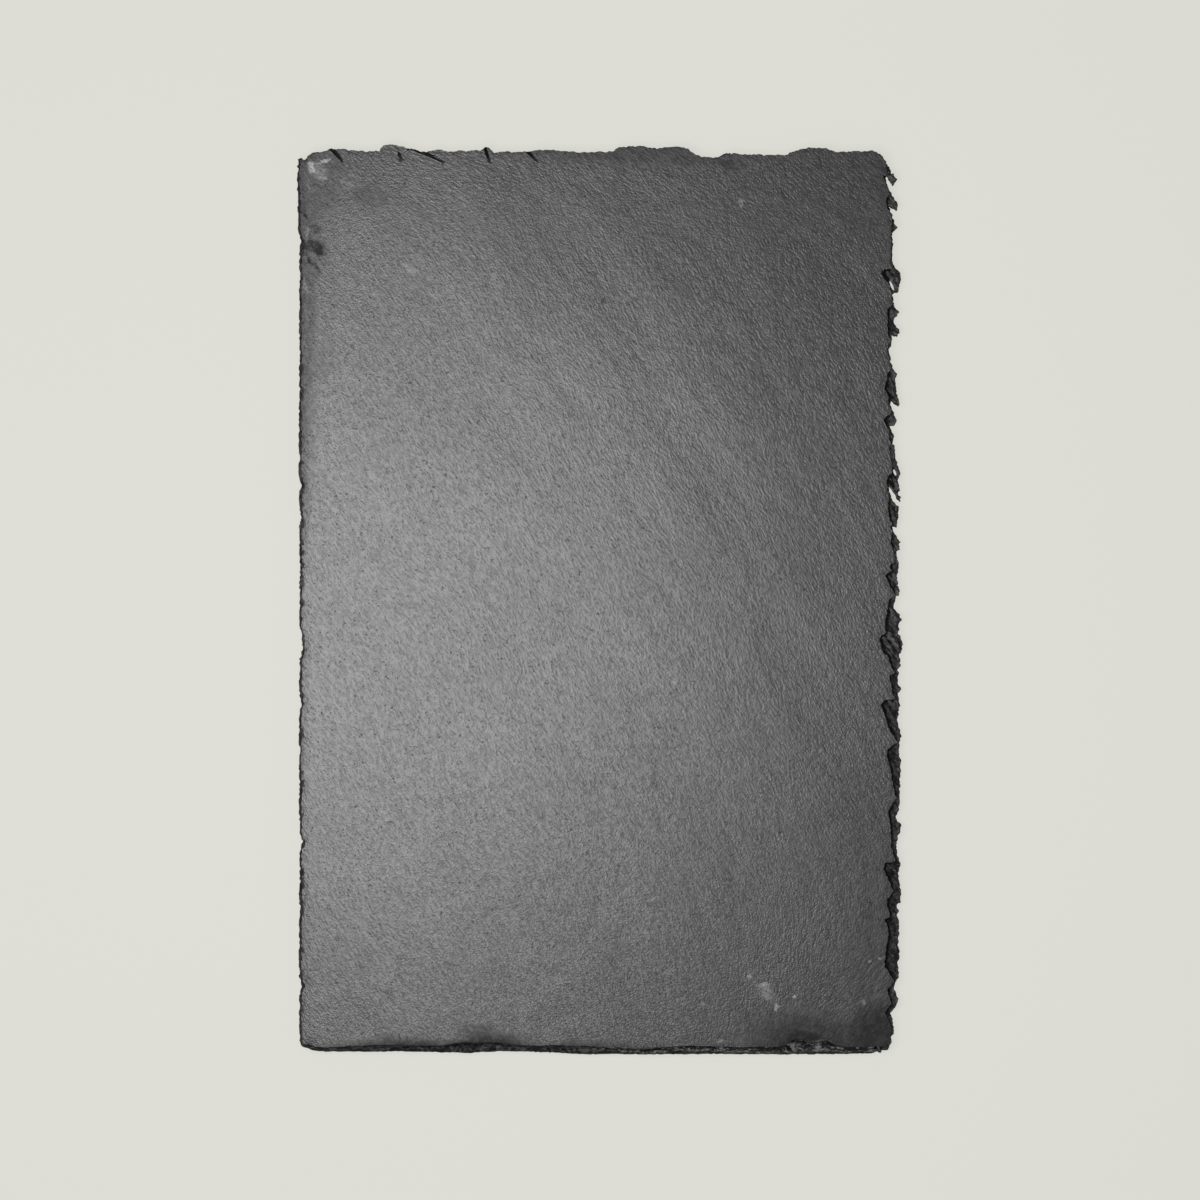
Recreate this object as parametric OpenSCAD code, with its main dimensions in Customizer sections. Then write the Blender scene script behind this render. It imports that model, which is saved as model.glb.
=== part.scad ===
// Slate serving board: a slab of split slate with hand-dressed edges, on four stuck-on rubber feet.
// X runs to the right edge, Y to the back edge and Z up. The origin is at the floor, under the middle.

/* [Slate slab] */
// Length from front to back, over the flakes
board_length = 300; // [240:5:360]
// Width from side to side, over the flakes
board_width = 200; // [160:5:240]
// Thickness of the split slate
slate_t = 5; // [4:0.5:8]
// Radius at the corners, under the flakes
corner_r = 2; // [1.5:0.5:5]

/* [Dressed edges] */
// How far the flakes of the right edge stand out from their deepest notch
right_reach = 7; // [4:0.5:9]
// How far the ragged back edge stands out from its deepest notch
back_reach = 5.8; // [3:0.2:8]
// How far the left edge stands out from its deepest chip
left_reach = 2.3; // [1:0.1:4]
// How far the front edge stands out from its deepest chip
front_reach = 3; // [1:0.5:5]
// Width of the bevel that faces up along the front edge
front_bevel_w = 3; // [1.5:0.5:5]
// Width of the softened rim along the left edge
left_soft_w = 1; // [0.5:0.1:2]
// Width of the bevel that faces down along the back edge
back_undercut_w = 3.6; // [2:0.2:5]
// Least width that any edge slopes over
least_bevel_w = 0.7; // [0.4:0.1:1.2]
// Depth of the fine teeth along the right and back edges
ragged_tooth = 0.35; // [0:0.05:0.5]
// Depth of the fine teeth along the left and front edges
even_tooth = 0.15; // [0:0.05:0.3]
// Length along the edge over which a split layer wanders in and out
layer_wave = 9; // [5:1:20]
// Longest step between two points of the ragged right and back edges
ragged_pitch = 1.8; // [1.6:0.1:3]
// Longest step between two points of the even left and front edges
even_pitch = 2.8; // [2.4:0.1:5]
// Width of the blunt tip of a flake
tip_w = 1.8; // [1:0.1:2.4]
// Length along the edge of the jump behind that tip
notch_run = 0.3; // [0.2:0.1:0.6]
// Length over which the rim of the upper face steps back behind a flake
rim_run = 5; // [2:0.5:7]

/* [Feet] */
// Diameter of a foot where it meets its film
foot_d = 16; // [12:1:20]
// Height of a foot
foot_h = 2.5; // [1.5:0.5:4]
// How much smaller the radius of a foot is at the floor
foot_draft = 0.6; // [0.2:0.1:1.2]
// Radius of a foot's lower rim
foot_rim_r = 0.5; // [0.2:0.1:0.8]
// Distance from a foot's middle to the two nearest edges
foot_inset = 24; // [20:1:40]
// Thickness of the adhesive film on a foot
film_t = 0.3; // [0.2:0.1:0.6]
// How far the film stays back from the foot's rim
film_margin = 0.8; // [0.4:0.1:1.5]

/* [Hidden] */

SLATE = [0.42, 0.42, 0.42];
RUBBER = [0.07, 0.07, 0.07];
FILM = [0.86, 0.84, 0.76];

LEFT = -1;
RIGHT = 1;
FRONT = -1;
BACK = 1;

slab_z = foot_h + film_t;

// Places along an edge are shares of the board's full length or width.
// Right edge, seen from above, from back to front. Each flake is [place of its tip from front to
// back, reach of its tip, depth of the notch behind the tip, on the side towards the front].
right_flake_shares = [
    [0.975, 0.30, 0.05], [0.950, 0.80, 0.52], [0.928, 0.84, 0.42], [0.907, 0.78, 0.26],
    [0.895, 0.60, 0.10], [0.842, 0.92, 0.36], [0.817, 0.88, 0.34], [0.795, 0.93, 0.40],
    [0.782, 0.54, 0.18], [0.745, 0.72, 0.06], [0.716, 0.88, 0.42], [0.700, 0.76, 0.36],
    [0.680, 0.62, 0.12], [0.642, 0.90, 0.26], [0.607, 0.96, 0.36], [0.590, 0.87, 0.34],
    [0.558, 0.93, 0.20], [0.543, 0.84, 0.10], [0.510, 0.88, 0.28], [0.477, 1.00, 0.18],
    [0.434, 0.98, 0.20], [0.404, 0.95, 0.14], [0.384, 0.92, 0.14], [0.323, 0.96, 0.12],
    [0.277, 0.92, 0.24], [0.248, 0.96, 0.22], [0.209, 0.93, 0.14], [0.168, 0.94, 0.20],
    [0.150, 0.85, 0.12], [0.090, 0.88, 0.20], [0.056, 0.83, 0.40], [0.020, 0.66, 0.20],
];

// The rim of the upper face behind those flakes, in the same form.
right_rim_shares = [
    [0.985, 0.10, 0.04], [0.950, 0.34, 0.08], [0.905, 0.42, 0.12], [0.850, 0.46, 0.16],
    [0.800, 0.44, 0.12], [0.745, 0.42, 0.10], [0.705, 0.46, 0.14], [0.650, 0.50, 0.14],
    [0.605, 0.48, 0.16], [0.550, 0.50, 0.12], [0.505, 0.42, 0.12], [0.474, 0.32, 0.40],
    [0.430, 0.38, 0.08], [0.392, 0.58, 0.58], [0.349, 0.64, 0.36], [0.283, 0.70, 0.38],
    [0.226, 0.48, 0.34], [0.183, 0.62, 0.28], [0.158, 0.42, 0.16], [0.130, 0.36, 0.16],
    [0.082, 0.60, 0.32], [0.056, 0.66, 0.50], [0.028, 0.46, 0.10],
];

// Back edge: [place from left to right, reach].
back_line_shares = [
    [0.000, 0.14], [0.010, 0.22], [0.025, 0.52], [0.055, 0.68], [0.095, 0.72], [0.115, 0.60],
    [0.138, 0.80], [0.155, 0.98], [0.165, 0.97], [0.182, 0.78], [0.213, 0.55], [0.239, 0.76],
    [0.248, 0.48], [0.273, 0.72], [0.302, 0.66], [0.309, 0.34], [0.316, 0.92], [0.328, 0.50],
    [0.347, 0.68], [0.360, 0.42], [0.380, 0.60], [0.411, 0.80], [0.425, 0.56], [0.468, 0.62],
    [0.520, 0.48], [0.530, 0.66], [0.549, 1.00], [0.559, 0.66], [0.568, 0.94], [0.602, 0.80],
    [0.640, 0.95], [0.658, 0.42], [0.680, 0.22], [0.713, 0.60], [0.735, 0.50], [0.765, 0.36],
    [0.805, 0.34], [0.822, 0.64], [0.855, 0.86], [0.880, 0.58], [0.902, 0.50], [0.950, 0.64],
    [0.970, 0.36], [1.000, 0.20],
];

// Left edge: [place from front to back, reach].
left_line_shares = [
    [0.000, 0.70], [0.062, 0.74], [0.074, 0.30], [0.086, 0.74], [0.160, 0.70], [0.226, 0.68],
    [0.234, 0.22], [0.242, 0.70], [0.300, 0.72], [0.378, 0.70], [0.386, 0.36], [0.395, 0.74],
    [0.436, 0.66], [0.446, 0.20], [0.462, 0.42], [0.472, 0.72], [0.540, 0.68], [0.580, 0.72],
    [0.590, 0.42], [0.600, 0.72], [0.618, 0.70], [0.627, 0.38], [0.636, 0.74], [0.700, 0.78],
    [0.830, 0.72], [0.888, 0.74], [0.898, 0.46], [0.908, 0.92], [0.960, 1.00], [1.000, 0.94],
];

// Front edge: [place from left to right, reach].
front_line_shares = [
    [0.000, 0.50], [0.050, 0.66], [0.155, 0.54], [0.215, 0.78], [0.290, 0.76], [0.310, 0.58],
    [0.410, 0.72], [0.430, 0.88], [0.500, 1.00], [0.700, 0.98], [0.915, 0.98], [0.928, 0.76],
    [0.950, 0.80], [0.965, 0.92], [1.000, 0.70],
];

// Width of the front bevel along the same line, in shares of the front bevel.
front_bevel_shares = [
    [0.000, 0.50], [0.100, 0.80], [0.240, 0.90], [0.275, 1.40], [0.320, 1.20], [0.360, 0.90],
    [0.480, 1.05], [0.560, 0.85], [0.640, 1.10], [0.740, 0.90], [0.800, 1.05], [0.822, 2.00],
    [0.850, 1.55], [0.872, 1.90], [0.895, 1.00], [1.000, 0.90],
];

// Heights of the split layers in the thickness of the slab, from its lower face to its upper face.
layer_shares = [0, 0.14, 0.34, 0.43, 0.51, 0.60, 0.70, 1];

// How far each layer stands back across the bevel, for the right, back, left and front edges.
// The right edge has a chip scar: a steep drop behind the rim, a sloping plate, then a steep lip.
setback_shares = [
    [0.30, 0.00, 0.05, 0.22, 0.50, 0.80, 0.94, 1.00],
    [1.00, 0.88, 0.66, 0.52, 0.40, 0.28, 0.15, 0.00],
    [0.50, 0.10, 0.00, 0.00, 0.00, 0.04, 0.12, 1.00],
    [0.30, 0.00, 0.08, 0.26, 0.50, 0.72, 0.88, 1.00],
];

// How square each corner is: 0 is round and 1 is square, at the back right, back left,
// front left and front right.
corner_shares = [0.05, 0.90, 0.20, 0.35];

// How far a flake's tip is swept towards the front, as a share of its reach
flake_sweep = 1.1;
// Share of the right edge, from its front end, over which that sweep sets in
sweep_onset = 0.08;
// Share of its notch by which a blunt tip has fallen back at its lower end
tip_slant = 0.45;
// Share of the bevel by which a layer wanders
layer_wander = 0.16;
// Growth from a notch to the next tip, for the flakes and for the rim: above 1 it comes late
flake_growth = 3;
rim_growth = 1.2;
// Points round a corner, between its two edges
corner_steps = 7;
tooth_seed = 11;
layer_seed = 40;

RIGHT_EDGE = 0;
BACK_EDGE = 1;
LEFT_EDGE = 2;
FRONT_EDGE = 3;
QUARTER = 90;

function mix(a, b, t) = a + (b - a) * t;
function clamp(v) = min(1, max(0, v));
function smooth(t) = t * t * (3 - 2 * t);
function heading(angle) = [cos(angle), sin(angle)];

// Distance from the middle to the deepest notch of each edge
notch_distance = [
    board_width / 2 - right_reach,
    board_length / 2 - back_reach,
    board_width / 2 - left_reach,
    board_length / 2 - front_reach,
];
function side_start(side) = corner_r - notch_distance[(side + 3) % 4];
function side_end(side) = notch_distance[(side + 1) % 4] - corner_r;
function side_full(side) = side % 2 == 0 ? board_length : board_width;

// The sweep carries a tip towards the front, so its flake grows from a station further back.
function unswept(flakes) = [
    for (f = flakes) [f[0] + flake_sweep * right_reach * f[1] / board_length, f[1], f[2]]
];
right_flakes = unswept(right_flake_shares);
right_rims = unswept(right_rim_shares);

// How a line falls back behind a tip: [distance from the tip, share of the notch's depth]
flake_fall = [[0, 0], [tip_w, tip_slant], [tip_w + notch_run, 1]];
rim_fall = [[0, 0], [rim_run, 1]];

// Reach along a line of flakes, listed from back to front. The line falls back behind each tip
// and grows out again to the next.
function flake_reach(flakes, place, fall, growth, j = 0) =
    place >= flakes[0][0] ? flakes[0][1]
    : j == len(flakes) - 1 ? flakes[j][1] - flakes[j][2]
    : place < flakes[j + 1][0] ? flake_reach(flakes, place, fall, growth, j + 1)
    : let (
        behind = flakes[j][0] - place,
        falling = flakes[j][1] - flakes[j][2] * lookup(behind * board_length, fall),
        grown = pow(behind / (flakes[j][0] - flakes[j + 1][0]), growth)
    ) max(falling, mix(flakes[j][1] - flakes[j][2], flakes[j + 1][1], grown));

// How far an edge reaches at a place along it
function edge_reach(side, place) =
    side == RIGHT_EDGE ? right_reach * flake_reach(right_flakes, place, flake_fall, flake_growth)
    : side == BACK_EDGE ? back_reach * lookup(place, back_line_shares)
    : side == LEFT_EDGE ? left_reach * lookup(place, left_line_shares)
    : front_reach * lookup(place, front_line_shares);
function rim_reach(place) = right_reach * flake_reach(right_rims, place, rim_fall, rim_growth);

// Width over which the edge slopes at that place
function edge_bevel(side, place) =
    side == RIGHT_EDGE
        ? max(least_bevel_w, edge_reach(side, place) - rim_reach(place))
    : side == BACK_EDGE ? back_undercut_w
    : side == LEFT_EDGE ? left_soft_w
    : max(least_bevel_w, front_bevel_w * lookup(place, front_bevel_shares));

// Places that carry a point of their own: each tip and the notch behind it, or each listed point
function side_marks(side) =
    side == RIGHT_EDGE
        ? [for (f = reverse(right_flakes)) for (m = reverse(flake_fall)) f[0] - m[0] / board_length]
    : side == BACK_EDGE ? [for (p = back_line_shares) p[0]]
    : side == LEFT_EDGE ? [for (p = left_line_shares) p[0]]
    : [for (p = front_line_shares) p[0]];
function reverse(list) = [for (i = [len(list) - 1 : -1 : 0]) list[i]];

// A station is [side, place along the side, turn through the corner at its end]. The ring of
// stations runs counterclockwise from the front end of the right edge.
function side_stations(side) =
    let (
        onward = side == RIGHT_EDGE || side == FRONT_EDGE,
        full = side_full(side),
        first = 1 / 2 + (onward ? side_start(side) : -side_end(side)) / full,
        last = 1 / 2 + (onward ? side_end(side) : -side_start(side)) / full,
        marks = [first, for (m = side_marks(side)) if (m > first && m < last) m, last],
        pitch = (side == RIGHT_EDGE || side == BACK_EDGE ? ragged_pitch : even_pitch) / full,
        places = [
            for (i = [1 : len(marks) - 1])
                let (steps = ceil((marks[i] - marks[i - 1]) / pitch))
                for (j = [0 : steps - 1]) mix(marks[i - 1], marks[i], j / steps),
            last,
        ]
    ) [
        for (place = onward ? places : reverse(places)) [side, place, 0],
        for (i = [1 : corner_steps]) [side, onward ? last : first, i / (corner_steps + 1)],
    ];
stations = [for (side = [RIGHT_EDGE : FRONT_EDGE]) each side_stations(side)];
count = len(stations);
levels = len(layer_shares);

// Layers wander along the whole edge, so their waves close on themselves.
around = 2 * (board_length + board_width);
waves = round(around / layer_wave);
tooth_noise = rands(-1, 1, count, tooth_seed);
teeth = [
    for (i = [0 : count - 1])
        tooth_noise[i] * (stations[i][0] <= BACK_EDGE ? ragged_tooth : even_tooth)
];
layer_noise = [for (k = [0 : levels - 1]) rands(-1, 1, waves, layer_seed + k)];
function wander(k, i) =
    let (
        at = i / count * waves,
        cell = floor(at)
    ) mix(layer_noise[k][cell % waves], layer_noise[k][(cell + 1) % waves], smooth(at - cell));

// Place where the right edge begins, at its front end
front_start = 1 / 2 + side_start(RIGHT_EDGE) / board_length;

// Where a station stands on the line of the deepest notches
function station_base(s) =
    let (
        out = heading(QUARTER * s[0]),
        along = heading(QUARTER * (s[0] + 1)),
        onward = s[0] == RIGHT_EDGE || s[0] == FRONT_EDGE,
        run = (s[1] - 1 / 2) * side_full(s[0]) * (onward ? 1 : -1)
    ) s[2] == 0
        ? out * notch_distance[s[0]] + along * run
        : out * (notch_distance[s[0]] - corner_r) + along * side_end(s[0])
            + heading(QUARTER * (s[0] + s[2])) * corner_r * corner_swell(s);

// A square corner swells beyond the arc.
function corner_swell(s) =
    let (turned = abs(2 * s[2] - 1) * QUARTER / 2)
    mix(1, 1 / cos(QUARTER / 2 - turned), corner_shares[s[0]]);

// The way that an edge grows out: straight out, or swept to the front on the right edge
function station_out(s) =
    s[2] > 0 ? heading(QUARTER * (s[0] + s[2])) * corner_swell(s)
    : s[0] == RIGHT_EDGE ? [1, -flake_sweep * smooth(clamp((s[1] - front_start) / sweep_onset))]
    : heading(QUARTER * s[0]);

// Round a corner, each measure passes from the end of one edge to the start of the next.
function next_side(s) = (s[0] + 1) % 4;
function next_place(s) =
    let (onward = next_side(s) == RIGHT_EDGE || next_side(s) == FRONT_EDGE)
    1 / 2 + side_start(next_side(s)) / side_full(next_side(s)) * (onward ? 1 : -1);
function blend(s, here, next) = s[2] == 0 ? here : mix(here, next, smooth(s[2]));
reaches = [
    for (s = stations) blend(s, edge_reach(s[0], s[1]), edge_reach(next_side(s), next_place(s)))
];
bevels = [
    for (s = stations) blend(s, edge_bevel(s[0], s[1]), edge_bevel(next_side(s), next_place(s)))
];
setbacks = [for (s = stations) blend(s, setback_shares[s[0]], setback_shares[next_side(s)])];

function edge_point(i, k) =
    let (
        setback = clamp(setbacks[i][k] + layer_wander * wander(k, i)),
        reach = reaches[i] + teeth[i] - bevels[i] * setback
    ) station_base(stations[i]) + station_out(stations[i]) * reach;
rough_rings = [for (k = [0 : levels - 1]) [for (i = [0 : count - 1]) edge_point(i, k)]];

// The ragged outline is centred and brought to the board's full length and width.
low = [for (axis = [0, 1]) min([for (ring = rough_rings) for (p = ring) p[axis]])];
high = [for (axis = [0, 1]) max([for (ring = rough_rings) for (p = ring) p[axis]])];
full = [board_width, board_length];
function fitted(p, axis) = ((p[axis] - low[axis]) / (high[axis] - low[axis]) - 1 / 2) * full[axis];

slab_points = [
    for (k = [0 : levels - 1]) for (p = rough_rings[k])
        [fitted(p, 0), fitted(p, 1), slab_z + slate_t * layer_shares[k]]
];
slab_faces = [
    [for (i = [0 : count - 1]) i],
    [for (i = [count - 1 : -1 : 0]) (levels - 1) * count + i],
    for (k = [0 : levels - 2]) for (i = [0 : count - 1])
        let (
            next = (i + 1) % count,
            here = k * count,
            above = here + count
        ) each [
            [here + i, above + i, above + next],
            [here + i, above + next, here + next],
        ],
];

module slate_slab() {
    color(SLATE)
        polyhedron(points = slab_points, faces = slab_faces);
}

module at_foot(x_side, y_side) {
    translate([x_side * (board_width / 2 - foot_inset), y_side * (board_length / 2 - foot_inset), 0])
        children();
}

// A moulded foot: flat on the floor, with a rounded lower rim and a side that widens upwards
module foot_pad(x_side, y_side) {
    floor_r = foot_d / 2 - foot_draft;
    rim_middle = [floor_r - foot_rim_r, foot_rim_r];
    color(RUBBER)
        at_foot(x_side, y_side)
            rotate_extrude($fn = 72)
                polygon([
                    [0, 0],
                    for (angle = [-QUARTER : QUARTER / 6 : 0]) rim_middle + foot_rim_r * heading(angle),
                    [foot_d / 2, foot_h],
                    [0, foot_h],
                ]);
}

// The film that sticks a foot to the slate
module adhesive_disc(x_side, y_side) {
    color(FILM)
        at_foot(x_side, y_side)
            translate([0, 0, foot_h])
                cylinder(r = foot_d / 2 - film_margin, h = film_t, $fn = 72);
}

slate_slab();
foot_pad(LEFT, FRONT);  // foot_pad_front_left
foot_pad(RIGHT, FRONT);  // foot_pad_front_right
foot_pad(LEFT, BACK);  // foot_pad_back_left
foot_pad(RIGHT, BACK);  // foot_pad_back_right
adhesive_disc(LEFT, FRONT);  // adhesive_disc_front_left
adhesive_disc(RIGHT, FRONT);  // adhesive_disc_front_right
adhesive_disc(LEFT, BACK);  // adhesive_disc_back_left
adhesive_disc(RIGHT, BACK);  // adhesive_disc_back_right
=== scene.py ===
"""A slate serving board on four rubber feet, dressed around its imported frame.

X runs to the right edge, Y to the back edge and Z up, in metres, with the floor at zero. Places on the
upper face are written in millimetres from its middle.
"""

import math

import bmesh
import bpy
from mathutils import Matrix, Vector, kdtree, noise


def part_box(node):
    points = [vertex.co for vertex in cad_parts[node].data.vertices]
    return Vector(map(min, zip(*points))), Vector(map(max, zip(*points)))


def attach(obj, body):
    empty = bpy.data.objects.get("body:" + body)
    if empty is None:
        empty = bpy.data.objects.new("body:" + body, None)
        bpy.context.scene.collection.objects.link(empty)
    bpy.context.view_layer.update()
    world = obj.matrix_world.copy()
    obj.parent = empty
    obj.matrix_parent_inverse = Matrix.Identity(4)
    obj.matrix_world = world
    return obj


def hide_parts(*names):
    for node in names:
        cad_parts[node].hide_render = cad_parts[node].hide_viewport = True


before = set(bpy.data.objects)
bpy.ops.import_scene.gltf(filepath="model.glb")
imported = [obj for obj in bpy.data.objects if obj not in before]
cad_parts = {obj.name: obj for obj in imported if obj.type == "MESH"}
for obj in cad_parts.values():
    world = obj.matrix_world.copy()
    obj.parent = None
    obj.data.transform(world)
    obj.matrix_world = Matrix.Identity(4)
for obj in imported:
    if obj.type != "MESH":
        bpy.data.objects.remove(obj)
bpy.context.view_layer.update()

MM = 0.001
TINY = 1e-6
SLAB = "slate_slab"
CORNERS = ("front_left", "front_right", "back_left", "back_right")
slab_low, slab_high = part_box(SLAB)
UNDER_Z = slab_low.z
FACE_Z = slab_high.z
SLATE_T = FACE_Z - UNDER_Z
FOOT_SPOTS = [sum(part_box("foot_pad_" + corner), Vector()) / 2 for corner in CORNERS]

# The split faces are cut into a mesh of this fineness, and each side of a broken edge's face gets this many
# cuts. Faces with at least this share of upright are plates, and get one more cut in sides over the last
# length.
FACE_PITCH = 1.4 * MM
UNDER_PITCH = 3.0 * MM
EDGE_CUTS = 2
PLATE_SHARE = 0.7
PLATE_EDGE = 1.2 * MM
# Cuts that come this near to a vertex pass through it
SNAP = 0.02 * MM
# Gaps right through between flakes of the right edge: middle, half length, half width and turn
GAPS = [((96.2, 103.6), 1.8, 0.45, 113), ((97.2, 42.0), 1.15, 0.45, 112)]

# Directions of the split grain, in degrees from X: over most of the face, along the back, and turning
# round the front right corner
MAIN_TURN = 120
BACK_TURN = 138
SIDE_TURN = 88
CORNER_TURN = 52
GRAIN_TURNS = (MAIN_TURN, BACK_TURN, SIDE_TURN, CORNER_TURN)
# Where the passages between them start and end, in millimetres: by the place along Y, and by the distance
# from a point beyond the corner
BACK_PASSAGE = (106, 146)
CORNER_MIDDLE = (108, -158)
CORNER_PASSAGE = (38, 62)
SIDE_PASSAGE = (58, 92)


def ramp(value, start, end):
    """0 before start and 1 after end, with a smooth passage."""
    share = min(1, max(0, (value - start) / (end - start)))
    return share * share * (3 - 2 * share)


def streak(x, y, turn, across, along, seed):
    """Noise about zero that is stretched along a direction. Lengths are in millimetres."""
    angle = math.radians(turn)
    run = x * math.cos(angle) + y * math.sin(angle)
    side = y * math.cos(angle) - x * math.sin(angle)
    return noise.noise(Vector((run / along, side / across, seed)))


def grain_shares(x, y):
    """How much each direction of the grain counts at a place, in the order of GRAIN_TURNS."""
    back = ramp(y, *BACK_PASSAGE)
    reach = math.hypot(x - CORNER_MIDDLE[0], y - CORNER_MIDDLE[1])
    corner = 1 - ramp(reach, *CORNER_PASSAGE)
    side = (1 - ramp(reach, *SIDE_PASSAGE)) * (1 - corner)
    return (1 - back) * (1 - corner - side), back, side, corner


# Waves of the split faces: height, turn, length across, length along, and what the seed gains
BROAD_WAVES = [(0.17, 132, 38, 90, 0), (0.06, 128, 15, 34, 3)]
# Their fine waves, which follow the grain: height, length across, length along, and what the seed gains
FINE_WAVES = (0.030, 4.6, 10.0, 7)
# Low steps between their leaves: height, turn, length across, length along, what the seed gains, and count
LEAF_STEPS = (0.035, 125, 26, 60, 19, 3)
# Where a step between two leaves starts and ends, in shares of the way from one to the next
LEAF_RISE_SHARES = (0.42, 0.58)


def split_relief(x, y, seed):
    """Height of a split face about its mean, in millimetres."""
    broad = 0
    for height, turn, across, along, gain in BROAD_WAVES:
        broad += height * streak(x, y, turn, across, along, seed + gain)
    fine = 0
    height, across, along, gain = FINE_WAVES
    for turn, share in zip(GRAIN_TURNS, grain_shares(x, y)):
        if share > 0:
            fine += share * height * streak(x, y, turn, across, along, seed + gain)
    height, turn, across, along, gain, count = LEAF_STEPS
    leaf = streak(x, y, turn, across, along, seed + gain) * count
    step = height * (math.floor(leaf) + ramp(leaf - math.floor(leaf), *LEAF_RISE_SHARES))
    return broad + fine + step


def parted(shape, faces, place, normal):
    """Cuts faces along a plane and returns those on each side of it."""
    parts = set(faces)
    parts.update(edge for face in faces for edge in face.edges)
    parts.update(vert for face in faces for vert in face.verts)
    cut = bmesh.ops.bisect_plane(shape, geom=list(parts), dist=SNAP, plane_co=place, plane_no=normal)
    made = [part for part in cut["geom"] if isinstance(part, bmesh.types.BMFace)]
    ahead = [f for f in made if (f.calc_center_median() - place).dot(normal) > 0]
    behind = [f for f in made if (f.calc_center_median() - place).dot(normal) <= 0]
    return behind, ahead


def strips(shape, faces, axis, pitch, low, high):
    """Cuts flat faces into strips across an axis. Each cut passes only what lies beyond the last one."""
    normal = Vector((0, 0, 0))
    normal[axis] = 1
    done = []
    ahead = list(faces)
    count = round((high - low) / pitch)
    for index in range(1, count):
        place = low + (high - low) * index / count
        crossed = []
        beyond = []
        for face in ahead:
            marks = [corner.co[axis] for corner in face.verts]
            if max(marks) <= place + SNAP:
                done.append(face)
            elif min(marks) >= place - SNAP:
                beyond.append(face)
            else:
                crossed.append(face)
        if crossed:
            behind, past = parted(shape, crossed, normal * place, normal)
            done += behind
            beyond += past
        ahead = beyond
    return done + ahead


def gridded(shape, cap, pitch):
    """Cuts one flat side of the slab into a square mesh."""
    columns = strips(shape, cap, 0, pitch, slab_low.x, slab_high.x)
    return strips(shape, columns, 1, pitch, slab_low.y, slab_high.y)


def flat_side(shape, height):
    """The faces that lie at a height of the slab."""
    return [f for f in shape.faces if all(abs(v.co.z - height) < TINY for v in f.verts)]


# Cracks that run in from the back and right edges: start and end, width at the start, depth
CLEFTS = [
    ((-89.0, 149.6), (-84.7, 145.2), 1.0, 1.4),
    ((-60.4, 148.8), (-51.4, 144.8), 0.9, 1.4),
    ((-38.0, 150.0), (-36.4, 144.8), 1.1, 1.4),
    ((-24.2, 148.4), (-20.9, 145.2), 0.8, 1.2),
    ((-66.3, 147.3), (-65.2, 146.0), 0.8, 0.8),
    ((93.4, 107.4), (95.9, 105.2), 0.55, 1.2),
]
# Faces are cut along a crack's lines between these shares of its way, and this far beside it in millimetres
CLEFT_CUT_SHARES = (-0.25, 1.15)
CLEFT_MARGIN = 1.2
# A crack is open between these shares of its way, and loses so much of its width and depth to its end
CLEFT_OPEN_SHARES = (-0.3, 1)
CLEFT_NARROWS = 0.7
CLEFT_RISES = 0.6


def cleft_place(point, cleft):
    """Share of the way along a crack, and distance from its line, in millimetres."""
    start, end = Vector(cleft[0]), Vector(cleft[1])
    run = end - start
    away = Vector((point.x / MM, point.y / MM)) - start
    return away.dot(run) / run.length_squared, abs(away.cross(run)) / run.length


def scored(shape, faces, cleft):
    """Cuts the faces along a crack's line and along both its sides."""
    start, end = Vector(cleft[0]).to_3d() * MM, Vector(cleft[1]).to_3d() * MM
    normal = (end - start).cross(Vector((0, 0, 1))).normalized()
    first, last = CLEFT_CUT_SHARES
    for side in (-0.5, 0, 0.5):
        near = []
        others = []
        for face in faces:
            share, distance = cleft_place(face.calc_center_median(), cleft)
            hit = first < share < last and distance < cleft[2] / 2 + CLEFT_MARGIN
            (near if hit else others).append(face)
        behind, ahead = parted(shape, near, start + normal * (side * cleft[2] * MM), normal)
        faces = others + behind + ahead
    return faces


def cleft_depth(point):
    """Depth of the cracks at a point of the upper face, in millimetres."""
    depth = 0
    for cleft in CLEFTS:
        share, distance = cleft_place(point, cleft)
        if CLEFT_OPEN_SHARES[0] < share < CLEFT_OPEN_SHARES[1]:
            run = max(0, share)
            half = cleft[2] / 2 * (1 - CLEFT_NARROWS * run)
            depth = max(depth, cleft[3] * (1 - CLEFT_RISES * run) * max(0, 1 - distance / half))
    return depth


# The underside is flat up to the first distance from a foot's middle, and fully split from the second on
FOOT_PASSAGE = (8.5 * MM, 13 * MM)
UPPER_SEED = 2.0
UNDER_SEED = 31.0


def foot_room(point):
    """0 on the film of a foot and 1 well away from it."""
    gap = min(math.hypot(point.x - spot.x, point.y - spot.y) for spot in FOOT_SPOTS)
    return ramp(gap, *FOOT_PASSAGE)


def face_heights(verts):
    """Relief of the upper face at each vertex, at most zero, and of the underside, at least zero."""
    upper = {v: split_relief(v.co.x / MM, v.co.y / MM, UPPER_SEED) for v in verts}
    lower = {v: split_relief(-v.co.x / MM, v.co.y / MM, UNDER_SEED) for v in verts}
    top, bottom = max(upper.values()), min(lower.values())
    for vert in verts:
        upper[vert] = (upper[vert] - top) * MM
        lower[vert] = (lower[vert] - bottom) * MM * foot_room(vert.co)
    return upper, lower


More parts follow.
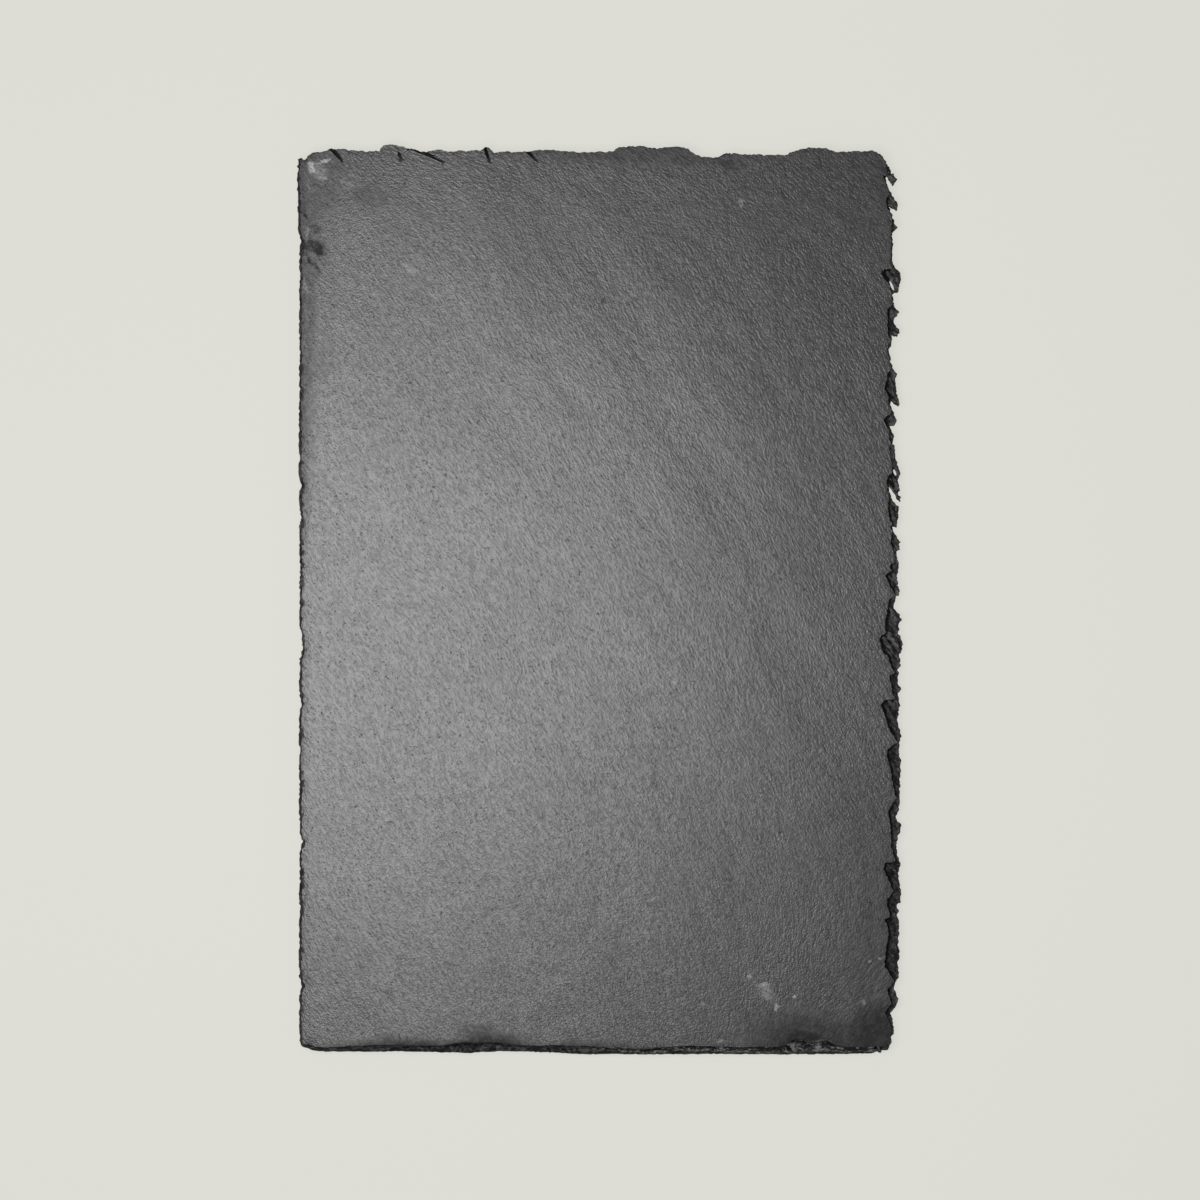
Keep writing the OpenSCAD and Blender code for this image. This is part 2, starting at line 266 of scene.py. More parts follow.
# Leaves of a broken edge: their thickness, the share of it from which one passes into the next, how far they
# waver up and down and over what length, the length over which one stands out or back, and how far apart the
# noise of two leaves is. Then their mean depth, and how much leaves, chips and shards add to it, with the
# sizes of the chips and the shards along the edge and upwards. Lengths are in millimetres.
LEAF = 0.42
LEAF_END_SHARE = 0.75
LEAF_WAVER, LEAF_WAVE = 0.22, 7
LEAF_RUN = 3.1
LEAF_SHIFT = 5.3
MEAN_DEPTH, LEAF_DEPTH, CHIP_DEPTH, SHARD_DEPTH = 0.24, 0.30, 0.24, 0.62
CHIP_RUN, CHIP_RISE = 2.3, 1.1
SHARD_RUN, SHARD_RISE = 0.9, 3.0
# The front edge is less broken, up to where it turns into the right one
FRONT_CALM = 0.6
FRONT_PASSAGE = (144, 146)
FRONT_END = (88, 92)
# Slivers on the broken plates: height, turn, length across, length along and seed
SLIVERS = [(0.6, 126, 0.95, 3.6, 71), (0.3, 118, 0.6, 1.8, 77)]


def lamina_depth(point):
    """How far a broken edge stands back at a point, in millimetres: thin split leaves, chips and shards."""
    x, y, z = point.x / MM, point.y / MM, point.z / MM
    wavy = z + LEAF_WAVER * noise.noise(Vector((x / LEAF_WAVE, y / LEAF_WAVE, 4)))
    leaf = math.floor(wavy / LEAF)
    leaf_share = wavy / LEAF - leaf
    here = noise.noise(Vector((x / LEAF_RUN, y / LEAF_RUN, leaf * LEAF_SHIFT)))
    above = noise.noise(Vector((x / LEAF_RUN, y / LEAF_RUN, (leaf + 1) * LEAF_SHIFT)))
    leaves = here + (above - here) * ramp(leaf_share, LEAF_END_SHARE, 1)
    chips = abs(noise.noise(Vector((x / CHIP_RUN, y / CHIP_RUN, z / CHIP_RISE + 9))))
    shards = noise.noise(Vector((x / SHARD_RUN, y / SHARD_RUN, z / SHARD_RISE)))
    calm = 1 - FRONT_CALM * ramp(-y, *FRONT_PASSAGE) * (1 - ramp(x, *FRONT_END))
    depth = MEAN_DEPTH + LEAF_DEPTH * leaves + CHIP_DEPTH * chips + SHARD_DEPTH * shards
    return max(0, depth * calm)


def sliver_height(point):
    """Height of the slivers that lie on the broken plates, in millimetres about zero."""
    x, y = point.x / MM, point.y / MM
    return sum(height * streak(x, y, *sizes) for height, *sizes in SLIVERS)


def broken_faces(shape):
    """The faces of the dressed edges, which lie between the two flat sides."""
    heights = ((f, f.calc_center_median().z) for f in shape.faces)
    return [f for f, z in heights if abs(z - FACE_Z) > TINY and abs(z - UNDER_Z) > TINY]


def placed(name, data):
    """A new object in the scene."""
    thing = bpy.data.objects.new(name, data)
    bpy.context.scene.collection.objects.link(thing)
    return thing


def new_piece(name, shape, smooth=True):
    """Turns a finished shape into an object of the scene."""
    mesh = bpy.data.meshes.new(name)
    shape.to_mesh(mesh)
    shape.free()
    mesh.polygons.foreach_set("use_smooth", [smooth] * len(mesh.polygons))
    return placed(name, mesh)


GAP_SIDES = 9


def gap_cutter(gap):
    """A small upright lens that passes right through the slab."""
    (x, y), half_length, half_width, turn = gap
    shape = bmesh.new()
    ring = bmesh.ops.create_circle(shape, cap_ends=True, segments=GAP_SIDES, radius=MM)["verts"]
    low = UNDER_Z - SLATE_T
    bmesh.ops.scale(shape, vec=(half_length, half_width, 1), verts=ring)
    bmesh.ops.rotate(shape, cent=(0, 0, 0), matrix=Matrix.Rotation(math.radians(turn), 3, "Z"), verts=ring)
    bmesh.ops.translate(shape, vec=(x * MM, y * MM, low), verts=ring)
    top = bmesh.ops.extrude_face_region(shape, geom=list(shape.faces))["geom"]
    risen = [part for part in top if isinstance(part, bmesh.types.BMVert)]
    bmesh.ops.translate(shape, vec=(0, 0, 3 * SLATE_T), verts=risen)
    bmesh.ops.recalc_face_normals(shape, faces=shape.faces)
    return new_piece("gap_cutter", shape, smooth=False)


def open_gaps(piece):
    """Cuts the gaps between the flakes right through a finished piece."""
    cutters = [gap_cutter(gap) for gap in GAPS]
    for cutter in cutters:
        cut = piece.modifiers.new("gap", "BOOLEAN")
        cut.operation = "DIFFERENCE"
        cut.solver = "MANIFOLD"
        cut.object = cutter
    bpy.context.view_layer.update()
    opened = piece.evaluated_get(bpy.context.evaluated_depsgraph_get())
    mesh = bpy.data.meshes.new_from_object(opened)
    piece.modifiers.clear()
    piece.data = mesh
    for cutter in cutters:
        bpy.data.objects.remove(cutter)


# The right edge seen from above, from front to back: place along the edge in thousandths of the length, reach
# of the flakes in hundredths of FLAKE_REACH and, for hooks, how far their tips lean towards the front, in
# thousandths of the length
FLAKES = [
    (0, 36), (17, 56), (21, 60), (30, 55), (40, 49), (45, 38), (50, 59), (56, 76), (61, 80), (66, 66),
    (73, 59), (78, 64), (83, 78), (89, 84), (96, 78), (104, 81), (113, 82), (120, 75), (128, 80), (142, 82),
    (148, 78), (151, 70), (158, 80), (163, 67), (167, 86, 2), (172, 90), (181, 91), (188, 82), (197, 79),
    (203, 80), (208, 89), (214, 80), (220, 70), (232, 70), (241, 76), (248, 91, 1), (253, 92), (257, 78),
    (261, 63), (268, 78), (276, 87), (284, 81), (292, 84), (300, 89, 1), (304, 83), (313, 90), (317, 84),
    (321, 93), (328, 84), (343, 84), (351, 91), (358, 84), (365, 73), (374, 80), (381, 80), (385, 91, 1),
    (391, 78), (398, 76), (403, 91, 1), (409, 76), (416, 71), (420, 79), (424, 74), (428, 88), (435, 91),
    (440, 82), (445, 95), (452, 98), (458, 88), (464, 81), (472, 82), (475.5, 83), (478, 100, 1), (484, 84),
    (490, 66), (492.5, 57), (500, 62), (504, 65), (507, 80, 2), (511, 83), (520, 78), (530, 73), (540, 79),
    (549, 70), (554.5, 69), (558, 89, 1.5), (561.5, 79), (565, 88, 0.5), (568, 76), (575, 59), (581, 47),
    (583.5, 66, 3.8), (587, 74, 2), (592, 80), (600, 78), (604.5, 80, 1), (609, 56), (615.5, 42), (620, 34),
    (624, 31, -1), (625.5, 44, 2), (626.8, 56, 8), (628, 76, 19.5), (629.5, 87, 22), (631, 90, 18),
    (632.5, 78, 13), (634, 90, 13.5), (636.5, 80, 9.5), (639, 75, 7), (643, 86, 2), (649, 74), (656, 66),
    (665, 61), (670, 60), (675, 48), (681, 58), (687, 45), (692, 33, -1), (694, 53, 2.5), (698, 70),
    (702, 69), (706, 57), (711, 48), (716, 43), (719.5, 39, -0.5), (720.6, 50, 2), (721.6, 60, 6),
    (723, 77, 10.5), (725, 83, 7.5), (728, 75, 4), (732, 70, 2), (737, 65), (744, 63), (750, 72), (757, 54),
    (762, 42), (770, 38), (777, 30), (781, 42), (787, 48), (792.2, 47, -0.8), (794.2, 68, 4.5),
    (797.5, 89, 1.5), (801.5, 72), (807, 53), (810, 55), (814, 73), (818.5, 81), (821.5, 70), (823.5, 56),
    (828, 58), (833, 51), (837, 49), (839.5, 52, 0.5), (841, 62, 2.4), (843.5, 76, 3), (848, 84, 1),
    (855, 88), (862, 90), (866, 64), (870, 57), (875, 47), (885, 48), (895, 53), (905, 48), (909, 62),
    (912.5, 75, 0.5), (917, 60), (925, 48), (930, 42), (934.5, 32, -1), (936, 67, 6.6), (937.8, 81, 5.8),
    (940, 78, 3), (944, 58, 1), (948, 49), (953, 38), (958, 28), (963, 22), (966.5, 17, -1), (967.2, 25, 1),
    (968, 47, 11), (969.5, 63, 9), (971, 76, 6), (972.5, 56, 2.5), (974, 38, -1), (1000, 20),
]
# The rim of the upper face behind them: place and reach, in the same units
FLAKE_RIM = [
    (0, 10), (10, 30), (20, 42), (32, 38), (40, 28), (46, 8), (50, 25), (56, 44), (62, 32), (70, 22),
    (76, 38), (81, 55), (86, 42), (92, 24), (97, 10), (105, 10), (113, 16), (122, 22), (132, 28), (142, 22),
    (148, 12), (151, 36), (160, 26), (170, 18), (175, 36), (180, 54), (186, 40), (193, 26), (199, 14),
    (206, 6), (210.5, 10), (212.5, 60), (220, 50), (230, 42), (245, 40), (255, 36), (262, 30), (270, 28),
    (276, 46), (282, 68), (288, 58), (295, 50), (305, 44), (315, 38), (322, 32), (330, 18), (336, 26),
    (340, 46), (344, 72), (350, 54), (356, 38), (361, 28), (366, 22), (372, 12), (379, 0), (385, -6),
    (389.5, 4), (391.5, 60), (398, 46), (406, 40), (414, 32), (417.5, 32), (420, 55), (430, 38), (438, 25),
    (443, 6), (450, -8), (457, -18), (461, -5), (464.5, 18), (472, 12), (478, 14), (486, 22), (495, 26),
    (502, 34), (505, 62), (512, 44), (520, 26), (527.5, 12), (532, 48), (538, 32), (541, 60), (550, 56),
    (558, 46), (566, 38), (571, 42), (576, 48), (581, 37), (585, 42), (592, 30), (602, 26), (609, 32),
    (616, 30), (623.5, 22), (630, 20), (635, 28), (641, 44), (648, 46), (656, 42), (664, 30), (671, 34),
    (675, 38), (682, 34), (688, 32), (691.5, 20), (697, 6), (702, 10), (705, 46), (711, 38), (716.5, 30),
    (724, 26), (729, 18), (734, 10), (738, 16), (744, 24), (750, 26), (756, 42), (762, 33), (770, 28),
    (777, 20), (782, 32), (788, 38), (792.5, 26), (800, 22), (810, 24), (820, 22), (823.5, 46), (832, 43),
    (838, 40), (846, 33), (850.5, 22), (853, 12), (859, 2), (863.5, 4), (866, 46), (873, 38), (885, 38),
    (895, 42), (905, 38), (911, 42), (917, 46), (925, 38), (931, 26), (937, 16), (943, 16), (947, 38),
    (953, 28), (958, 18), (963, 12), (966.5, 2), (970, 30), (1000, 5),
]
FLAKES = [(row[0] / 1000, row[1] / 100, row[2] / 1000 if len(row) == 3 else 0) for row in FLAKES]
FLAKE_RIM = [(place / 1000, reach / 100) for place, reach in FLAKE_RIM]
# In millimetres: how far the flakes reach, X of their deepest notches, and the length of the edge
FLAKE_REACH = 7.0
NOTCH_X = 93.0
FLAKE_LENGTH = 300
# The part of the edge that is brought to these tables, in shares of its length and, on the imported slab's own
# outline, in millimetres
FLAKE_SHARES = (0.018, 0.976)
FLAKE_ENDS = (-144.6, 141.4)
FLAKE_MIN_X = 88
# How far each height of the slab stands back from the flakes to the rim, from the lower face to the upper
FLAKE_STEPS = [
    (0, 0.24), (0.14, 0.0), (0.34, 0.0), (0.43, 0.03), (0.51, 0.07), (0.6, 0.16), (0.7, 0.93), (1, 1.0),
]
# The outermost lines of the back and front edges, from left to right
BACK_LINE = [
    (-97.8, 146.3), (-96.1, 147.3), (-95.2, 147.9), (-89.9, 148.9), (-88.5, 149.6), (-84.6, 149.3),
    (-76.7, 148.6), (-72.7, 148.8), (-71.9, 150.4), (-70.7, 150.7), (-68.7, 150.9), (-66.1, 150.3),
    (-60.8, 149.3), (-58.2, 148.3), (-55.5, 148.9), (-52.9, 149.3), (-50.2, 148.6), (-42.3, 148.9),
    (-39.3, 148.9), (-37.7, 150.1), (-36.3, 149.9), (-34.7, 148.3), (-31.7, 148.9), (-26.4, 148.3),
    (-17.2, 149.3), (-13.2, 148.6), (-5.3, 148.3), (4.3, 148.6), (5.9, 149.9), (7.9, 150.3), (13.2, 150.6),
    (18.5, 149.6), (25.1, 150.3), (29.1, 149.3), (31.1, 147.6), (34.4, 146.6), (38.3, 146.9), (42.3, 148.3),
    (47.6, 147.6), (55.5, 147.6), (60.8, 147.3), (63.4, 148.6), (66.1, 149.3), (68.7, 149.9), (74, 149.6),
    (78, 148.3), (84.6, 148.6), (89.9, 148.8), (91.9, 147.9), (93.8, 146.3),
]
FRONT_LINE = [
    (-97.8, -147.5), (-96.1, -148.4), (-93.8, -149.3), (-89.9, -149.6), (-66.1, -149.4), (-58.2, -149.6),
    (-42.3, -149.9), (-33, -149.4), (-23.1, -149.6), (-14.5, -149.9), (-9.3, -150.3), (-2.6, -150.4),
    (81.9, -150.4), (83.3, -150.1), (89.9, -150.1), (92.5, -149.9), (94.5, -149.1),
]


def between(rows, mark):
    """The values of a table at a mark between its rows."""
    for low, high in zip(rows, rows[1:]):
        if mark <= high[0]:
            share = max(0, (mark - low[0]) / (high[0] - low[0]))
            return [a + (b - a) * share for a, b in zip(low[1:], high[1:])]
    return list(rows[-1][1:])


def slab_rings(shape):
    """The rings of vertices at each height of the slab, all counted from the same place on the left edge,
    counterclockwise as seen from above."""
    left_end = -90 * MM
    # Vertices within one step are of one height. The shift keeps half steps from falling either way.
    level_step = 0.01 * MM
    level_shift = 0.3
    levels = {}
    for vert in shape.verts:
        levels.setdefault(round(vert.co.z / level_step + level_shift), []).append(vert)
    top = [v for v in levels[max(levels)] if v.co.x < left_end]
    start_y = min((v.co.y for v in top), key=abs)
    rings = []
    for height in sorted(levels):
        members = set(levels[height])

        def linked(vert):
            return [e.other_vert(vert) for e in vert.link_edges if e.other_vert(vert) in members]

        left = [v for v in members if v.co.x < left_end]
        ring = [min(left, key=lambda v: abs(v.co.y - start_y))]
        here = min(linked(ring[0]), key=lambda v: v.co.y)
        while here is not ring[0]:
            ring.append(here)
            here = next(v for v in linked(here) if v is not ring[-2])
        rings.append(ring)
    return rings


# Which ring of the slab tells where the right edge starts and ends
GUIDE_RING = 4
# Over how many vertices from its ends the edge is brought there in full
GUIDE_PASSAGE = (-1, 4)
# How far the layers wander between the flakes and the rim, between which shares of the height, how often
# along the edge and upwards, and how much of it is left on a hook, which is where the lean passes the last
# share
LAYER_WANDER = 0.10
WANDER_SHARES = (0.05, 0.95)
WANDER_TURNS = (30, 7)
HOOK_WANDER = 0.3
HOOK_LEAN = 0.002


def flake_point(place, reach, lean):
    """A point of the right edge, in millimetres."""
    return Vector((NOTCH_X + FLAKE_REACH * reach, (place - lean - 0.5) * FLAKE_LENGTH))


def trace_right(rings):
    """Brings the right edge to its row of flakes, with the plates of their scars behind them."""
    low, high = (mark * MM for mark in FLAKE_ENDS)
    line = rings[GUIDE_RING]
    marks = [i for i, v in enumerate(line) if v.co.x > FLAKE_MIN_X * MM and low < v.co.y < high]
    first, last = marks[0], marks[-1]
    start, end = FLAKE_SHARES
    rows = [(start, *between(FLAKES, start))]
    rows += [row for row in FLAKES if start < row[0] < end] + [(end, *between(FLAKES, end))]
    run = [(0, *rows[0])]
    for low, high in zip(rows, rows[1:]):
        run.append((run[-1][0] + (flake_point(*high) - flake_point(*low)).length, *high))
    for index in range(first, last + 1):
        share = (index - first) / (last - first)
        place, reach, lean = between(run, run[-1][0] * share)
        rim = between(FLAKE_RIM, place)[0]
        hold = ramp(min(index - first, last - index), *GUIDE_PASSAGE)
        for ring in rings:
            vert = ring[index]
            height = (vert.co.z - UNDER_Z) / SLATE_T
            back = between(FLAKE_STEPS, height)[0]
            if WANDER_SHARES[0] < height < WANDER_SHARES[1]:
                at = Vector((place * WANDER_TURNS[0], height * WANDER_TURNS[1], 5))
                wander = LAYER_WANDER * noise.noise(at)
                back += wander * (HOOK_WANDER if lean > HOOK_LEAN else 1)
            back = min(1, max(0, back))
            goal = flake_point(place, reach * (1 - back) + rim * back, lean * (1 - back)) * MM
            vert.co.x += (goal.x - vert.co.x) * hold
            vert.co.y += (goal.y - vert.co.y) * hold


# The back and front edges are brought to their tables where they lie this far out, and gently at the ends
LONG_EDGE_Y = 140 * MM
LONG_EDGE_PASSAGE = 2.5


def trace_long(rings, rows, side):
    """Brings the outermost line of the back edge (side 1) or of the front edge (side -1) to its table."""
    for index in range(len(rings[0])):
        column = [ring[index] for ring in rings]
        outer = max(column, key=lambda v: v.co.y * side)
        x = outer.co.x / MM
        if outer.co.y * side > LONG_EDGE_Y and rows[0][0] < x < rows[-1][0]:
            hold = ramp(min(x - rows[0][0], rows[-1][0] - x), 0, LONG_EDGE_PASSAGE)
            move = (between(rows, x)[0] * MM - outer.co.y) * hold
            for vert in column:
                vert.co.y += move


def slate_shape():
    """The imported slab's mesh, made fine, with split faces, layered broken edges and cracks."""
    shape = bmesh.new()
    shape.from_mesh(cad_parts[SLAB].data)
    bmesh.ops.remove_doubles(shape, verts=shape.verts, dist=TINY)
    for height in (FACE_Z, UNDER_Z):
        bmesh.ops.dissolve_faces(shape, faces=flat_side(shape, height), use_verts=False)
    bmesh.ops.triangulate(shape, faces=[f for f in broken_faces(shape) if len(f.verts) > 3])
    slopes = list({edge for face in broken_faces(shape) for edge in face.edges})
    bmesh.ops.subdivide_edges(shape, edges=slopes, cuts=EDGE_CUTS, use_grid_fill=True)
    rings = slab_rings(shape)
    trace_right(rings)
    trace_long(rings, BACK_LINE, 1)
    trace_long(rings, FRONT_LINE, -1)
    upper_faces = gridded(shape, flat_side(shape, FACE_Z), FACE_PITCH)
    for cleft in CLEFTS:
        upper_faces = scored(shape, upper_faces, cleft)
    gridded(shape, flat_side(shape, UNDER_Z), UNDER_PITCH)
    shape.normal_update()
    plates = [f for f in broken_faces(shape) if f.normal.z > PLATE_SHARE]
    long = list({e for f in plates for e in f.edges if e.calc_length() > PLATE_EDGE})
    bmesh.ops.subdivide_edges(shape, edges=long, cuts=1, use_grid_fill=True)
    bmesh.ops.triangulate(shape, faces=[f for f in shape.faces if len(f.verts) > 4])
    shape.normal_update()
    return shape


def point_tree(verts):
    """A search tree over vertices."""
    tree = kdtree.KDTree(len(verts))
    for index, vert in enumerate(verts):
        tree.insert(vert.co, index)
    tree.balance()
    return tree


# In millimetres from the middle along X: where the worn left edge passes into the others, and how far in
# its rim is softened
LEFT_PASSAGE = (-97, -92)
LEFT_SOFT_X = -95
# In millimetres from the rim: where the pale band of the worn edge starts and ends, a band that is partly wear
# and partly a painted sheen of the rounded rim, how wide and deep the fall towards the rim is and how much
# wider and deeper on the worn edge, and how far in the rim's own moves are felt
WORN_START = (0.2, 1.0)
WORN_END = (0.9, 3.2)
FALL_WIDTH, WORN_WIDTH = 0.7, 1.6
FALL_DEPTH, WORN_DEPTH = 0.03, 0.20
RIM_REACH = 1.8
HOLLOW_REACH = 1.4 * MM
# How much of its depth a vertex of the flat sides moves back, and what a vertex of the edge gets at least. It
# moves only where its direction is level by this share.
RIM_HOLD = 0.6
EDGE_HOLD = 0.4
LEVEL_SHARE = 0.15
# Share of upright in a face's direction from which slivers start to show on it, and from which they are full
PLATE_PASSAGE = (0.55, 0.9)
# Folds over these angles keep their shading apart, on the rim of the upper face and elsewhere
RIM_FOLD = math.radians(14)
FOLD = math.radians(34)


def edge_move(vert, way, on_flat):
    """How a vertex of the broken edge moves: back along its leaves, and up or down on its plates."""
    level = Vector((way.x, way.y, 0))
    move = Vector((0, 0, 0))
    if level.length > LEVEL_SHARE:
        hold = RIM_HOLD if on_flat else min(1, EDGE_HOLD + level.length)
        move -= level.normalized() * (lamina_depth(vert.co) * hold * MM)
    if not on_flat:
        plate = ramp(abs(way.z), *PLATE_PASSAGE)
        move.z += plate * sliver_height(vert.co) * MM
    return move


def hollow_depth(verts, reach):
    """How deep each vertex lies in a hollow, in millimetres. It is below zero on ridges."""
    tree = point_tree(verts)
    depths = {}
    for vert in verts:
        near = tree.find_range(vert.co, reach)
        spread = sum((found[0] for found in near), Vector()) / len(near) - vert.co
        depths[vert] = spread.dot(vert.normal) / MM
    return depths


def mark_sharp(shape, rim):
    """Keeps the shading apart along the rim of the upper face and along steep folds."""
    for edge in shape.edges:
        fold = edge.calc_face_angle(0)
        on_rim = edge.verts[0] in rim and edge.verts[1] in rim
        softened = edge.verts[0].co.x < LEFT_SOFT_X * MM
        edge.smooth = fold < (RIM_FOLD if on_rim and not softened else FOLD)


def dress_slate():
    """Shapes the relief, marks the broken edges and their hollows, and returns the finished piece."""
    shape = slate_shape()
    broken = shape.faces.layers.float.new("broken")
    hollow = shape.verts.layers.float.new("hollow")
    arris = shape.verts.layers.float.new("arris")
    steep = shape.verts.layers.float.new("steep")
    on_face = {v for v in shape.verts if abs(v.co.z - FACE_Z) < TINY}
    on_under = {v for v in shape.verts if abs(v.co.z - UNDER_Z) < TINY}
    for face in shape.faces:
        inside = all(v in on_face for v in face.verts) or all(v in on_under for v in face.verts)
        face[broken] = 0.0 if inside else 1.0
    rim = [v for v in on_face if any(f[broken] for f in v.link_faces)]
    rim_tree = point_tree(rim)
    edge_verts = [v for v in shape.verts if any(f[broken] for f in v.link_faces)]
    edge_moves = {v: edge_move(v, v.normal, v in on_face or v in on_under) for v in edge_verts}
    upper, lower = face_heights(shape.verts)
    middle = (FACE_Z + UNDER_Z) / 2
    moves = {}
    for vert in shape.verts:
        share = (vert.co.z - middle) / (SLATE_T / 2)
        lift = upper[vert] * max(0, share) + lower[vert] * max(0, -share)
        move = edge_moves.get(vert, Vector((0, 0, 0))).copy()
        if vert in on_face:
            found = rim_tree.find(vert.co)
            gap = found[2] / MM
            soft = 1 - ramp(vert.co.x / MM, *LEFT_PASSAGE)
            vert[arris] = soft * (1 - ramp(gap, *WORN_END)) * ramp(gap, *WORN_START)
            fall = 1 - ramp(gap, 0, FALL_WIDTH + WORN_WIDTH * soft)
            lift -= (FALL_DEPTH + WORN_DEPTH * soft) * fall * MM
            lift -= cleft_depth(vert.co) * MM
            if vert not in edge_moves:
                move += edge_moves[rim[found[1]]] * (1 - ramp(gap, 0, RIM_REACH))
        move.z += lift
        moves[vert] = move
    for vert, move in moves.items():
        vert.co += move
    shape.normal_update()
    for vert, depth in hollow_depth(edge_verts, HOLLOW_REACH).items():
        vert[hollow] = depth
        vert[steep] = 1 - abs(vert.normal.z)
    fit_to_slab(shape)
    mark_sharp(shape, set(rim))
    piece = new_piece("slate_board", shape)
    open_gaps(piece)
    return piece


def fit_to_slab(shape):
    """Brings the dressed slab back to the length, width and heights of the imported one."""
    for axis in range(3):
        marks = [v.co[axis] for v in shape.verts]
        low, high = min(marks), max(marks)
        scale = (slab_high[axis] - slab_low[axis]) / (high - low)
        for vert in shape.verts:
            vert.co[axis] = slab_low[axis] + (vert.co[axis] - low) * scale


# Outline of a moulded foot, from the middle of its hollow floor face to the middle of its upper face:
# distance from the axis and height, both in millimetres
FOOT_OUTLINE = (
    (0, 0.30), (3.2, 0.30), (3.5, 0.12), (3.9, 0.0), (5.1, 0.0), (5.25, 0.10), (5.4, 0.0), (5.9, 0.0),
    (6.05, 0.10), (6.2, 0.0), (6.95, 0.0), (7.25, 0.08), (7.42, 0.30), (7.47, 0.50), (7.62, 1.20),
    (7.70, 1.28), (7.82, 1.36), (7.97, 2.20), (8.0, 2.5), (0, 2.5),
)
FOOT_TURNS = 96
FOOT_MITRE = 0.05 * MM
# Folds over the first angle are mitred, and folds over the second keep their shading apart
FOOT_RIM = math.radians(25)
FOOT_FOLD = math.radians(40)


def moulded_foot(corner, spot):
    """One rubber foot: a hollow floor face with two gripping grooves, and a step round its side."""
    shape = bmesh.new()
    marks = [shape.verts.new((r * MM, 0, z * MM)) for r, z in FOOT_OUTLINE]
    line = [shape.edges.new(pair) for pair in zip(marks, marks[1:])]
    bmesh.ops.spin(
        shape, geom=marks + line, cent=(0, 0, 0), axis=(0, 0, 1), angle=math.tau, steps=FOOT_TURNS,
        use_merge=True,
    )
    bmesh.ops.remove_doubles(shape, verts=shape.verts, dist=TINY)
    bmesh.ops.recalc_face_normals(shape, faces=shape.faces)
    rings = [e for e in shape.edges if e.calc_face_angle(0) > FOOT_RIM]
    bmesh.ops.bevel(
        shape, geom=rings, offset=FOOT_MITRE, offset_type="OFFSET", segments=2, profile=0.5,
        affect="EDGES", material=-1, clamp_overlap=True,
    )
    bmesh.ops.translate(shape, verts=shape.verts, vec=(spot.x, spot.y, 0))
    foot = new_piece("rubber_foot_" + corner, shape)
    foot.data.set_sharp_from_angle(angle=FOOT_FOLD)
    return foot


class Net:
    """One tree of shader nodes. Most of its methods add a node and return the value that it gives."""

    def __init__(self, tree):
        self.tree = tree

    def fill(self, node, sockets):
        """Fills or links sockets of a node, by name or number."""
        for name, value in sockets.items():
            if isinstance(value, bpy.types.NodeSocket):
                self.tree.links.new(value, node.inputs[name])
            else:
                node.inputs[name].default_value = value

    def add(self, kind, sockets=None, **options):
        """Adds a node, sets its options and fills its sockets."""
        made = self.tree.nodes.new(kind)
        for name, value in options.items():
            setattr(made, name, value)
        self.fill(made, sockets or {})
        return made

    def group(self, group, sockets):
        """The outputs of a node group."""
        return self.add("ShaderNodeGroup", sockets, node_tree=group).outputs

    def attribute(self, name):
        """A value that the piece's mesh carries."""
        return self.add("ShaderNodeAttribute", attribute_name=name).outputs["Fac"]

    def math(self, operation, first, second=0.0, clamp=False):
        """One sum of two values."""
        sockets = {0: first, 1: second}
        return self.add("ShaderNodeMath", sockets, operation=operation, use_clamp=clamp).outputs[0]

    def times(self, first, second, clamp=False):
        return self.math("MULTIPLY", first, second, clamp)

    def blend(self, share, first, second):
        """Passes from the first value to the second."""
        return self.add("ShaderNodeMix", {0: share, 2: first, 3: second}).outputs[0]

    def ramp(self, value, start, end, low=0.0, high=1.0):
        """Passes smoothly from low to high between two values."""
        sockets = {"Value": value, "From Min": start, "From Max": end, "To Min": low, "To Max": high}
        return self.add("ShaderNodeMapRange", sockets, interpolation_type="SMOOTHSTEP").outputs[0]

    def faded(self, value, mask, rest):
        """A value that changes to its share called rest where the mask is 1."""
        return self.times(value, self.ramp(mask, 0.0, 1.0, 1.0, rest))

    def noise(self, place, scale, detail=0.0, roughness=0.5):
        """Value of a noise at a place."""
        sockets = {"Vector": place, "Scale": scale, "Detail": detail, "Roughness": roughness}
        return self.add("ShaderNodeTexNoise", sockets).outputs[0]

    def vector(self, operation, first, second):
        """One sum of two vectors, or of a vector and a number."""
        sockets = {0: first, "Scale" if operation == "SCALE" else 1: second}
        made = self.add("ShaderNodeVectorMath", sockets, operation=operation)
        return made.outputs["Value" if operation == "DISTANCE" else "Vector"]

    def turned(self, vector, angle):
        """A vector turned about Z."""
        sockets = {"Vector": vector, "Angle": angle}
        return self.add("ShaderNodeVectorRotate", sockets, rotation_type="Z_AXIS").outputs[0]

    def parts(self, vector):
        return self.add("ShaderNodeSeparateXYZ", {0: vector}).outputs

    def joined(self, x, y, z):
        return self.add("ShaderNodeCombineXYZ", {0: x, 1: y, 2: z}).outputs[0]

    def bump(self, height, strength, distance):
        """Direction of a surface with a bump of so many metres."""
        sockets = {"Height": height, "Strength": strength, "Distance": distance}
        return self.add("ShaderNodeBump", sockets).outputs[0]

    def swayed(self, place, scale, detail, reach):
        """A place moved about by noise, up to about half the reach."""
        sway = self.add("ShaderNodeTexNoise", {"Vector": place, "Scale": scale, "Detail": detail})
        shift = self.vector("SUBTRACT", sway.outputs["Color"], (0.5, 0.5, 0.5))
        return self.vector("ADD", place, self.vector("SCALE", shift, reach))

    def strongest(self, values):
        """The highest of several values."""
        highest = values[0]
        for value in values[1:]:
            highest = self.math("MAXIMUM", highest, value)
        return highest


